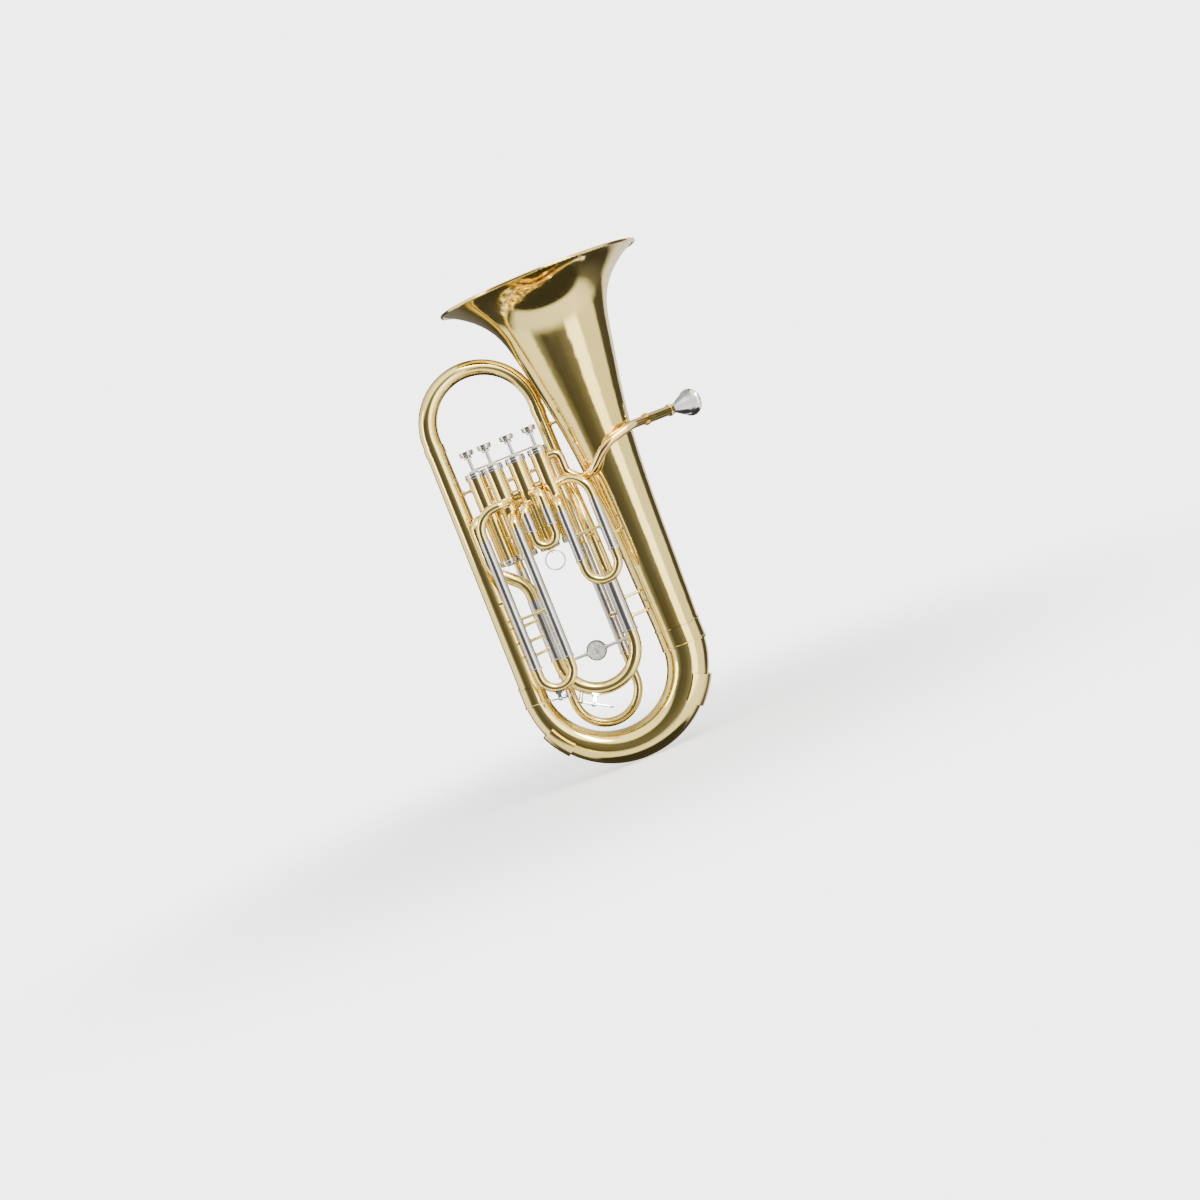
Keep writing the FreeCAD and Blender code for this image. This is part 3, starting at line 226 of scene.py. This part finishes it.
def cork_material():
    """Cork with dark cells."""
    material, shader = new_material("cork", (0.5, 0.31, 0.16), 0.0, 0.85)
    tree = material.node_tree
    cells = object_noise(tree, 900.0, 6.0)
    mottled = ramp(tree, cells.outputs["Fac"], [(0.38, (0.16, 0.08, 0.04)), (0.5, (0.5, 0.31, 0.16)),
                                                (0.7, (0.62, 0.42, 0.24))])
    tree.links.new(mottled.outputs["Color"], shader.inputs["Base Color"])
    bump(tree, shader, [(cells.outputs["Fac"], 0.0003, 0.7)])
    return material


def pearl_material():
    """Mother-of-pearl: soft cloudy bands of cream, pink and green under a hard gloss."""
    material, shader = new_material("pearl", (0.86, 0.84, 0.8), 0.0, 0.18)
    tree = material.node_tree
    clouds = object_noise(tree, 260.0, 3.0, (1, 0.5, 1))
    clouds.inputs["Distortion"].default_value = 1.5
    tint = ramp(tree, clouds.outputs["Fac"], [(0.3, (0.72, 0.8, 0.76)), (0.45, (0.9, 0.88, 0.83)),
                                              (0.6, (0.88, 0.76, 0.76)), (0.75, (0.93, 0.92, 0.88))])
    tree.links.new(tint.outputs["Color"], shader.inputs["Base Color"])
    shader.inputs["Coat Weight"].default_value = 1.0
    shader.inputs["Coat Roughness"].default_value = 0.05
    shader.inputs["Sheen Weight"].default_value = 0.2
    return material


YELLOW_BRASS = lacquered_brass("yellow_brass", (0.975, 0.775, 0.26), (0.93, 0.7, 0.2))
GOLD_BRASS = lacquered_brass("gold_brass", (0.965, 0.71, 0.27), (0.91, 0.63, 0.2))
NICKEL_SILVER = plated_metal("nickel_silver", (0.8, 0.78, 0.74), (0.66, 0.63, 0.58), (0.11, 0.2))
SILVER_PLATE = plated_metal("silver_plate", (0.93, 0.92, 0.9), (0.84, 0.82, 0.79), (0.04, 0.1), 0.03)
HONED_NICKEL = plated_metal("honed_nickel", (0.62, 0.61, 0.58), (0.48, 0.47, 0.44), (0.22, 0.34))
SPRING_STEEL = plated_metal("spring_steel", (0.56, 0.56, 0.57), (0.4, 0.4, 0.42), (0.2, 0.32))
FELT = pressed_felt("white_felt", (0.8, 0.78, 0.72), (0.58, 0.56, 0.5))
CORK = cork_material()
SATIN_NICKEL = plated_metal("satin_nickel", (0.86, 0.83, 0.76), (0.6, 0.57, 0.5), (0.4, 0.55))
PEARL = pearl_material()
BY_SLOT = {
    "lacquered_brass": YELLOW_BRASS, "nickel_silver": NICKEL_SILVER, "silver_plate": SILVER_PLATE,
    "nickel_alloy": HONED_NICKEL, "spring_steel": SPRING_STEEL, "felt": FELT,
}
GOLD_NODES = ("leadpipe", "valve_links")


# ------------------------------------------------------------------ making pieces

def new_piece(name, bm, body, material, sharp=38):
    """Turn a bmesh into a piece with smooth faces and crisp edges, riding on a body."""
    for face in bm.faces:
        face.smooth = True
    limit = math.radians(sharp)
    for edge in bm.edges:
        if len(edge.link_faces) == 2 and edge.calc_face_angle(0) > limit:
            edge.smooth = False
    mesh = bpy.data.meshes.new(name)
    bm.to_mesh(mesh)
    bm.free()
    piece = bpy.data.objects.new(name, mesh)
    bpy.context.scene.collection.objects.link(piece)
    mesh.materials.append(material)
    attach(piece, body)
    return piece


def merged_copy(node):
    """A node's own surface with its triangles joined, so that it can be smooth."""
    bm = bmesh.new()
    bm.from_mesh(nodes[node].data)
    bmesh.ops.remove_doubles(bm, verts=bm.verts, dist=0.002 * MM)
    bmesh.ops.dissolve_degenerate(bm, edges=bm.edges, dist=0.002 * MM)
    return bm


def finish_node(node):
    """A node's own shape, smooth, with its finish."""
    material = GOLD_BRASS if node in GOLD_NODES else BY_SLOT[SLOTS[node]]
    piece = new_piece(node + "_finish", merged_copy(node), BODY_OF[node], material)
    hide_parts(node)
    return piece


def finish_slide(node, sleeves):
    """A slide's bow is lacquered brass, and its legs are bare nickel silver inside the sleeves."""
    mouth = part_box(sleeves)[0][2]
    bm = merged_copy(node)
    everything = list(bm.verts) + list(bm.edges) + list(bm.faces)
    bmesh.ops.bisect_plane(bm, geom=everything, plane_co=(0, 0, mouth), plane_no=(0, 0, 1))
    for face in bm.faces:
        face.material_index = 1 if face.calc_center_median().z > mouth else 0
    piece = new_piece(node + "_finish", bm, BODY_OF[node], YELLOW_BRASS)
    piece.data.materials.append(HONED_NICKEL)
    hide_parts(node)


def finish_spring(node):
    """A valve's spring, smooth and with its finish, on a mesh of its own."""
    spring = finish_node(node)
    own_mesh(spring)


SLIDES = {"slide_1": "slide_1_sleeves", "slide_2": "slide_2_sleeves", "slide_3": "slide_3_sleeves",
          "slide_4": "slide_4_sleeves", "tuning_slide": "tuning_sleeves"}
SPRINGS = {"valve_spring_1": "valve_1_stroke", "valve_spring_2": "valve_2_stroke",
           "valve_spring_3": "valve_3_stroke", "valve_spring_4": "valve_4_stroke"}
for node in nodes:
    if node in SLIDES:
        finish_slide(node, SLIDES[node])
    elif node in SPRINGS:
        finish_spring(node)
    else:
        finish_node(node)


# ------------------------------------------------------------------ shapes of small pieces

def turn_profile(bm, profile, centre, steps=48):
    """Spin a closed profile of (radius, height) in millimetres about an upright axis."""
    corners = [bm.verts.new(Vector((r * MM, 0, z * MM)) + centre) for r, z in profile]
    pairs = zip(corners, corners[1:] + corners[:1])
    edges = [bm.edges.new(pair) for pair in pairs
             if (pair[0].co - centre).xy.length > 0 or (pair[1].co - centre).xy.length > 0]
    bmesh.ops.spin(bm, geom=corners + edges, cent=centre, axis=UP, dvec=(0, 0, 0),
                   angle=2 * math.pi, steps=steps, use_merge=True)
    bmesh.ops.remove_doubles(bm, verts=bm.verts, dist=0.001 * MM)
    bmesh.ops.recalc_face_normals(bm, faces=bm.faces)


def sweep_wire(bm, points, radius, sides=10):
    """A round wire along a line of points, with closed ends."""
    points = [Vector(p) for p in points]
    side = (points[1] - points[0]).orthogonal().normalized()
    end = bmesh.ops.create_circle(bm, cap_ends=True, segments=sides, radius=radius)["verts"]
    last = Matrix.Identity(4)
    for index, here in enumerate(points):
        along = (points[min(index + 1, len(points) - 1)] - points[max(index - 1, 0)]).normalized()
        side = (side - along * side.dot(along)).normalized()
        place = Matrix((side.cross(along), side, along)).transposed().to_4x4()
        place.translation = here
        if index:
            cap = [face for face in end[0].link_faces if all(vert in end for vert in face.verts)]
            drawn = bmesh.ops.extrude_face_region(bm, geom=cap)["geom"]
            end = [part for part in drawn if isinstance(part, bmesh.types.BMVert)]
            if index > 1:
                bmesh.ops.delete(bm, geom=cap, context="FACES_ONLY")
        bmesh.ops.transform(bm, matrix=place @ last.inverted(), verts=end)
        last = place


def rounded(corners, radius, steps=8):
    """A line through corners, with each inner corner turned by a smooth curve."""
    points = [corners[0]]
    for before, here, after in zip(corners, corners[1:], corners[2:]):
        reach = min(radius, (here - before).length * 0.48, (after - here).length * 0.48)
        start = here + (before - here).normalized() * reach
        end = here + (after - here).normalized() * reach
        for k in range(steps + 1):
            t = k / steps
            points.append(start * (1 - t) ** 2 + here * 2 * t * (1 - t) + end * t ** 2)
    points.append(corners[-1])
    return points


# ------------------------------------------------------------------ valve trim

def knurled_band(bm, axis, low, high):
    """A milled grip round a cap: upright teeth between two plain chamfers."""
    crest = CAP_RADIUS / MM
    low, high = low / MM, high / MM
    turn_profile(bm, [(crest - 0.5, low), (crest - 0.12, low), (crest, low + 0.4), (crest, high - 0.4),
                      (crest - 0.12, high), (crest - 0.5, high)], axis, 2 * KNURL_TEETH)
    for vert in bm.verts:
        out = (vert.co - axis).xy
        tooth = round(math.atan2(out.y, out.x) * KNURL_TEETH / math.pi)
        if tooth % 2 and abs(out.length - CAP_RADIUS) < 0.01 * MM:
            vert.co.xy += out.normalized() * KNURL_DEPTH


def make_cap_knurls():
    """Milled grips on the skirts of the top and bottom caps."""
    top_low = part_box("top_caps")[0]
    base_low, base_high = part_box("bottom_caps")
    top = bmesh.new()
    base = bmesh.new()
    for number in range(1, 5):
        axis = middle_of("valve_casing_%d" % number)
        axis.z = 0
        knurled_band(top, axis, top_low[2] + 1.2 * MM, top_low[2] + 5.6 * MM)
        knurled_band(base, axis, base_low[2] + 2.2 * MM, base_high[2] - 1.4 * MM)
    new_piece("top_cap_knurls", top, "horn", NICKEL_SILVER, 180)
    new_piece("bottom_cap_knurls", base, "horn", NICKEL_SILVER, 180)


def make_casing_brace():
    """A slim rod behind the caps, from the back of the fourth casing to the back of the first."""
    fourth, first = middle_of("valve_casing_4"), middle_of("valve_casing_1")
    wall = first.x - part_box("valve_casing_1")[0][0] - SOLDER_SINK
    cap_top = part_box("top_caps")[1][2]
    low, high = cap_top - BRACE_DROP, cap_top + BRACE_RISE
    back = fourth.y + CAP_RADIUS + BRACE_CLEARANCE
    corners = [Vector((fourth.x, fourth.y + wall, low)), Vector((fourth.x, back, low)),
               Vector((fourth.x, back, high)), Vector((first.x, back, high)),
               Vector((first.x, back, low)), Vector((first.x, first.y + wall, low))]
    bm = bmesh.new()
    sweep_wire(bm, rounded(corners, BRACE_BEND), BRACE_RADIUS, 14)
    bmesh.ops.recalc_face_normals(bm, faces=bm.faces)
    new_piece("casing_brace", bm, "horn", YELLOW_BRASS, 60)


def make_button_trim():
    """A pearl inlay on each finger button, and a felt washer under it."""
    for number in range(1, 5):
        low, high = (Vector(corner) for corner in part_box("finger_button_%d" % number))
        centre = (low + high) / 2
        centre.z = high.z
        rim = (high.x - low.x) / 2 / MM
        pearl = bmesh.new()
        turn_profile(pearl, [(0, -1.5), (rim - 2.5, -0.9), (rim - 2.2, -0.35), (rim - 2.9, -0.12),
                             (rim - 5, -0.3), (0, -0.55)], centre)
        new_piece("pearl_inlay_%d" % number, pearl, "valve_%d" % number, PEARL)
        centre.z = low.z
        washer = bmesh.new()
        turn_profile(washer, [(2.6, -1.6), (5.4, -1.6), (5.8, -1.3), (5.8, -0.35), (5.4, -0.02),
                              (2.6, -0.02)], centre)
        new_piece("button_felt_%d" % number, washer, "valve_%d" % number, FELT)


# ------------------------------------------------------------------ lyre plate and water keys

def arc_points(centre, radius, start, end, count=20):
    """Points on an arc in the X-Z plane, with angles in degrees from +X towards +Z."""
    return [centre + radius * Vector((math.cos(math.radians(a)), 0, math.sin(math.radians(a))))
            for a in (start + (end - start) * k / count for k in range(count + 1))]


def make_lyre():
    """A small bright lyre soldered to the satin floor of the round plate."""
    low, high = (Vector(corner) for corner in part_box("tuning_stay"))
    centre = (low + high) / 2
    floor = centre.y - PLATE_DEPTH / 2 + PLATE_RECESS
    centre.y = floor - 0.25 * MM
    bm = bmesh.new()
    for side in (-1, 1):
        bowl = arc_points(Vector((0, 0, -2.6 * MM)), 4.6 * MM, -90, 8)
        horn = arc_points(Vector((6.9 * MM, 0, -1.6 * MM)), 2.4 * MM, 200, 120, 8)
        tip = arc_points(Vector((4.0 * MM, 0, 4.6 * MM)), 2.5 * MM, -30, 130, 12)
        path = [Vector((side * p.x, 0, p.z)) + centre for p in bowl + horn[1:] + tip]
        sweep_wire(bm, path, LYRE_WIRE)
    sweep_wire(bm, [centre + Vector((x * MM, 0, 3.4 * MM)) for x in (-6.2, 0, 6.2)],
               LYRE_WIRE * 0.9)
    for x in (-2.1, -0.7, 0.7, 2.1):
        sweep_wire(bm, [centre + Vector((x * MM, 0, z * MM)) for z in (-6.2, 0, 3.4)],
                   LYRE_WIRE * 0.5, 6)
    sweep_wire(bm, [centre + Vector((x * MM, 0, -8.6 * MM)) for x in (-3.4, 0, 3.4)],
               LYRE_WIRE * 1.2)
    sweep_wire(bm, [centre + Vector((0, 0, z * MM)) for z in (-8.6, -7.2)], LYRE_WIRE * 1.6)
    bmesh.ops.recalc_face_normals(bm, faces=bm.faces)
    new_piece("plate_lyre", bm, "main_slide", NICKEL_SILVER, 50)
    ground = bmesh.new()
    bmesh.ops.create_cone(ground, cap_ends=True, segments=64, radius1=PLATE_FLOOR, radius2=PLATE_FLOOR,
                          depth=0.12 * MM,
                          matrix=Matrix.Translation((centre.x, floor - 0.02 * MM, centre.z))
                          @ Matrix.Rotation(math.pi / 2, 4, "X"))
    new_piece("plate_ground", ground, "main_slide", SATIN_NICKEL)


def key_frame(joint, outward):
    """A key's own frame: X from its pad to its touch, Y along its pin, Z away from the tube."""
    pin = Vector(joint["axis"]).normalized()
    outward = (outward - pin * outward.dot(pin)).normalized()
    along = pin.cross(outward)
    frame_axes = Matrix((along, pin, outward)).transposed().to_4x4()
    return Matrix.Translation(Vector(joint["pos_m"])) @ frame_axes


def make_key_trim(name, joint, outward, pad_at, key_body, slide_body):
    """Cork in the cup, a coiled spring on each side of the arm, and domed pin heads."""
    own = key_frame(joint, outward)
    cork = bmesh.new()
    turn_profile(cork, [(0, -3.5), (3.3, -3.5), (3.75, -3.2), (3.75, -2.3), (0, -2.25)],
                 Vector((pad_at * MM, 0, 0)))
    bmesh.ops.transform(cork, matrix=own, verts=cork.verts)
    new_piece(name + "_key_cork", cork, key_body, CORK)

    springs = bmesh.new()
    for side in (-1, 1):
        coil = []
        for k in range(49):
            turns = KEY_SPRING_TURNS * k / 48
            angle = 2 * math.pi * turns
            coil.append(Vector((-KEY_SPRING_RADIUS * math.sin(angle),
                                side * (KEY_ARM_HALF + KEY_SPRING_PITCH * turns),
                                KEY_SPRING_RADIUS * math.cos(angle))))
        leg = Vector((-9.5 * MM, side * 1.6 * MM, 1.25 * MM))
        sweep_wire(springs, [leg, leg * 0.7 + coil[0] * 0.3] + coil, KEY_SPRING_WIRE, 8)
    bmesh.ops.recalc_face_normals(springs, faces=springs.faces)
    bmesh.ops.transform(springs, matrix=own, verts=springs.verts)
    new_piece(name + "_key_spring", springs, key_body, SPRING_STEEL, 60)

    heads = bmesh.new()
    for side in (-1, 1):
        head = bmesh.new()
        turn_profile(head, [(0, 4.3), (1.8, 4.3), (1.8, 4.7), (1.35, 5.15), (0.7, 5.4), (0, 5.45)],
                     Vector((0, 0, 0)), 24)
        bmesh.ops.transform(head, matrix=own @ Matrix.Rotation(-side * math.pi / 2, 4, "X"),
                            verts=head.verts)
        mesh = bpy.data.meshes.new("head")
        head.to_mesh(mesh)
        head.free()
        heads.from_mesh(mesh)
    new_piece(name + "_key_pin_heads", heads, slide_body, NICKEL_SILVER)


def key_outward(angle, lean):
    """Which way a key points away from its bow: an angle left of straight down, leaning forward."""
    turn, tip = math.radians(angle), math.radians(lean)
    return Vector((-math.sin(turn) * math.cos(tip), -math.sin(tip), -math.cos(turn) * math.cos(tip)))


make_cap_knurls()
make_casing_brace()
make_button_trim()
make_lyre()
make_key_trim("main", JOINTS["tuning_key_lift"], key_outward(30, 25), -19, "tuning_key", "main_slide")
make_key_trim("third", JOINTS["third_key_lift"], key_outward(8, 0), -11, "third_key", "third_slide")


# ------------------------------------------------------------------ camera, floor and light

def aim(thing, target, up):
    """Point a camera or a light at a target, with its top towards up."""
    back = (thing.location - target).normalized()
    side = up.cross(back).normalized()
    top = back.cross(side)
    thing.rotation_euler = Matrix((side, top, back)).transposed().to_euler()


def make_camera():
    """The camera looks at the front of the horn and leans, so that the horn leans in its view."""
    camera = bpy.data.objects.new("camera", bpy.data.cameras.new("camera"))
    bpy.context.scene.collection.objects.link(camera)
    camera.data.lens = FOCAL_LENGTH
    camera.data.sensor_width = SENSOR_WIDTH
    away = Vector((0, -math.cos(CAMERA_LIFT), math.sin(CAMERA_LIFT)))
    camera.location = CAMERA_TARGET + CAMERA_DISTANCE * away
    aim(camera, CAMERA_TARGET, UP * math.cos(CAMERA_LEAN) + Vector((math.sin(CAMERA_LEAN), 0, 0)))
    bpy.context.scene.camera = camera


def make_floor():
    """A pale round floor that fades out, so that no edge of it shows."""
    bm = bmesh.new()
    bmesh.ops.create_circle(bm, cap_ends=True, segments=96, radius=FLOOR_RADIUS)
    mesh = bpy.data.meshes.new("floor")
    bm.to_mesh(mesh)
    bm.free()
    floor = bpy.data.objects.new("floor", mesh)
    floor.location.z = -0.0005
    bpy.context.scene.collection.objects.link(floor)
    material, shader = new_material("pale_floor", (0.86, 0.86, 0.85), 0.0, 0.8)
    tree = material.node_tree
    shader.inputs["Emission Color"].default_value = (1, 1, 1, 1)
    shader.inputs["Emission Strength"].default_value = FLOOR_GLOW
    place = tree.nodes.new("ShaderNodeTexCoord")
    reach = tree.nodes.new("ShaderNodeVectorMath")
    reach.operation = "LENGTH"
    fade = tree.nodes.new("ShaderNodeMapRange")
    fade.interpolation_type = "SMOOTHSTEP"
    fade.inputs["From Min"].default_value = FLOOR_RADIUS * 0.2
    fade.inputs["From Max"].default_value = FLOOR_RADIUS * 0.95
    fade.inputs["To Min"].default_value = 1.0
    fade.inputs["To Max"].default_value = 0.0
    tree.links.new(place.outputs["Object"], reach.inputs[0])
    tree.links.new(reach.outputs["Value"], fade.inputs["Value"])
    tree.links.new(fade.outputs["Result"], shader.inputs["Alpha"])
    mesh.materials.append(material)
    floor.visible_glossy = False


def soft_light(name, place, size, power):
    """A soft white panel that faces the horn."""
    light = bpy.data.lights.new(name, "AREA")
    light.shape = "RECTANGLE"
    light.size, light.size_y = size
    light.energy = power
    lamp = bpy.data.objects.new(name, light)
    lamp.location = place
    bpy.context.scene.collection.objects.link(lamp)
    aim(lamp, LIGHTS_AIM, UP)


def calculate(tree, operation, *inputs):
    """One step of arithmetic between sockets or numbers."""
    step = tree.nodes.new("ShaderNodeMath")
    step.operation = operation
    for socket, given in zip(step.inputs, inputs):
        if isinstance(given, (int, float)):
            socket.default_value = given
        else:
            tree.links.new(given, socket)
    return step.outputs[0]


def bands(tree, source, low, high, stops):
    """Brightness along an angle in degrees, as stops of (angle, brightness)."""
    share = calculate(tree, "DIVIDE", calculate(tree, "SUBTRACT", source, low), high - low)
    band = ramp(tree, share, [((angle - low) / (high - low), (level / BRIGHTEST,) * 3)
                              for angle, level in stops])
    return calculate(tree, "MULTIPLY", band.outputs["Color"], BRIGHTEST)


def make_world():
    """A white studio with soft banks round the front, a dark side behind, and a plain backdrop."""
    world = bpy.data.worlds.new("studio")
    world.use_nodes = True
    bpy.context.scene.world = world
    tree = world.node_tree
    surface = tree.nodes["Background"]
    place = tree.nodes.new("ShaderNodeTexCoord")
    parts = tree.nodes.new("ShaderNodeSeparateXYZ")
    tree.links.new(place.outputs["Generated"], parts.inputs[0])
    across, depth, height = parts.outputs
    to_degrees = 180 / math.pi
    azimuth = calculate(tree, "MULTIPLY",
                        calculate(tree, "ARCTAN2", across, calculate(tree, "MULTIPLY", depth, -1.0)),
                        to_degrees)
    elevation = calculate(tree, "MULTIPLY", calculate(tree, "ARCSINE", height), to_degrees)
    ring = bands(tree, azimuth, -180, 180, ROUND_BANKS)
    below = bands(tree, azimuth, -180, 180, LOW_BANKS)
    above = bands(tree, azimuth, -180, 180, HIGH_BANKS)
    rise = bands(tree, elevation, -90, 90, HIGH_SHARE)
    fall = bands(tree, elevation, -90, 90, LOW_SHARE)
    deep = bands(tree, elevation, -90, 90, DEEP_SHARE)
    outside = calculate(tree, "ADD", calculate(tree, "ADD", rise, fall), deep)
    level = calculate(tree, "SUBTRACT", 1.0, outside)
    total = calculate(tree, "MULTIPLY", ring, level)
    total = calculate(tree, "MULTIPLY_ADD", above, rise, total)
    total = calculate(tree, "MULTIPLY_ADD", below, fall, total)
    total = calculate(tree, "MULTIPLY_ADD", deep, DEEP_LEVEL, total)
    rays = tree.nodes.new("ShaderNodeLightPath")
    chosen = tree.nodes.new("ShaderNodeMix")
    chosen.data_type = "FLOAT"
    tree.links.new(rays.outputs["Is Camera Ray"], chosen.inputs[0])
    tree.links.new(total, chosen.inputs[2])
    chosen.inputs[3].default_value = BACKDROP
    tree.links.new(chosen.outputs[0], surface.inputs["Strength"])
    surface.inputs["Color"].default_value = (1.0, 0.995, 0.985, 1)


make_camera()
make_floor()
make_world()
soft_light("key_bank", (1.1, -1.7, 1.9), (1.2, 0.8), 60)
soft_light("left_bank", (-1.9, -0.9, 1.1), (0.5, 1.6), 14)
